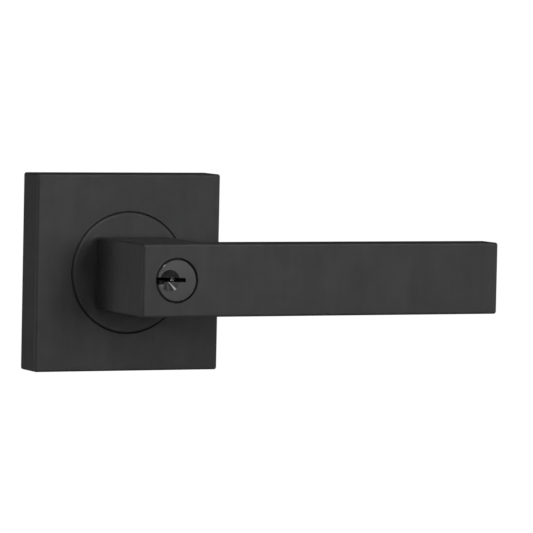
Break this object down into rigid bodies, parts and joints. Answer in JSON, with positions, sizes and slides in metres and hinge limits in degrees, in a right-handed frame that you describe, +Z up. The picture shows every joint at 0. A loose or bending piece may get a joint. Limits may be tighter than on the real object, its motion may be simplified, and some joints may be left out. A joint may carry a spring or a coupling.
{
  "type": "lever handle lockset",
  "caption": "Straight flat door lever on a square neck and square rose, with a key cylinder in its face, spindle and tailpiece behind.",
  "frame": {"origin": "on the spindle axis, at the door face that the rose and its plate lie on", "axes": "+X along the lever from the spindle towards its free end, +Y into the door along the spindle, +Z up; the front of the lever faces -Y"},
  "size_m": [0.148, 0.1135, 0.065],
  "materials": {
    "matt_black": "fine matt black coating",
    "satin_black": "satin black coating",
    "cast_zinc": "as-cast grey",
    "zinc_plated_steel": "bright zinc plate",
    "black_oxide_steel": "black oxide",
    "spring_steel": "oiled spring steel",
    "acetal": "black acetal",
    "nickel_silver": "stamped nickel silver"
  },
  "bodies": {
    "rose": {"rose_cover": "matt_black", "centre_disc": "matt_black", "spring_housing": "cast_zinc", "mounting_plate": "zinc_plated_steel", "mounting_posts": "zinc_plated_steel", "housing_screws": "black_oxide_steel", "hub_bush": "acetal", "thrust_washer": "acetal", "cover_set_screw": "black_oxide_steel", "return_spring": "spring_steel"},
    "lever": {"lever": "matt_black", "lever_hub": "zinc_plated_steel", "cam_plate": "zinc_plated_steel", "hub_circlip": "spring_steel", "spindle": "zinc_plated_steel", "lever_set_screw": "black_oxide_steel", "cylinder_shell": "satin_black", "cylinder_ring": "spring_steel"},
    "key_plug": {"key_plug": "satin_black", "plug_clip": "spring_steel", "tailpiece": "zinc_plated_steel", "tail_pin": "zinc_plated_steel", "wafer_spring_1": "spring_steel", "wafer_spring_2": "spring_steel", "wafer_spring_3": "spring_steel", "wafer_spring_4": "spring_steel", "wafer_spring_5": "spring_steel"},
    "wafer_1": {"wafer_1": "nickel_silver"},
    "wafer_2": {"wafer_2": "nickel_silver"},
    "wafer_3": {"wafer_3": "nickel_silver"},
    "wafer_4": {"wafer_4": "nickel_silver"},
    "wafer_5": {"wafer_5": "nickel_silver"}
  },
  "joints": [
    {"name": "lever_turn", "type": "hinge", "parent": "rose", "child": "lever", "pos_m": [0, 0, 0], "axis": [0, 1, 0], "range_deg": [-55, 55], "stiffness_Nm_per_rad": 1.5, "springref_deg": -4.13, "deforming": ["return_spring"]},
    {"name": "key_turn", "type": "hinge", "parent": "lever", "child": "key_plug", "pos_m": [0, 0, 0], "axis": [0, 1, 0], "range_deg": [-90, 90]},
    {"name": "wafer_1_slide", "type": "slide", "parent": "key_plug", "child": "wafer_1", "axis": [-1, 0, 0], "range_m": [0, 0.0008], "stiffness_N_per_m": 40, "deforming": ["wafer_spring_1"]},
    {"name": "wafer_2_slide", "type": "slide", "parent": "key_plug", "child": "wafer_2", "axis": [-1, 0, 0], "range_m": [0, 0.0008], "stiffness_N_per_m": 40, "deforming": ["wafer_spring_2"]},
    {"name": "wafer_3_slide", "type": "slide", "parent": "key_plug", "child": "wafer_3", "axis": [-1, 0, 0], "range_m": [0, 0.0008], "stiffness_N_per_m": 40, "deforming": ["wafer_spring_3"]},
    {"name": "wafer_4_slide", "type": "slide", "parent": "key_plug", "child": "wafer_4", "axis": [-1, 0, 0], "range_m": [0, 0.0008], "stiffness_N_per_m": 40, "deforming": ["wafer_spring_4"]},
    {"name": "wafer_5_slide", "type": "slide", "parent": "key_plug", "child": "wafer_5", "axis": [-1, 0, 0], "range_m": [0, 0.0008], "stiffness_N_per_m": 40, "deforming": ["wafer_spring_5"]}
  ]
}
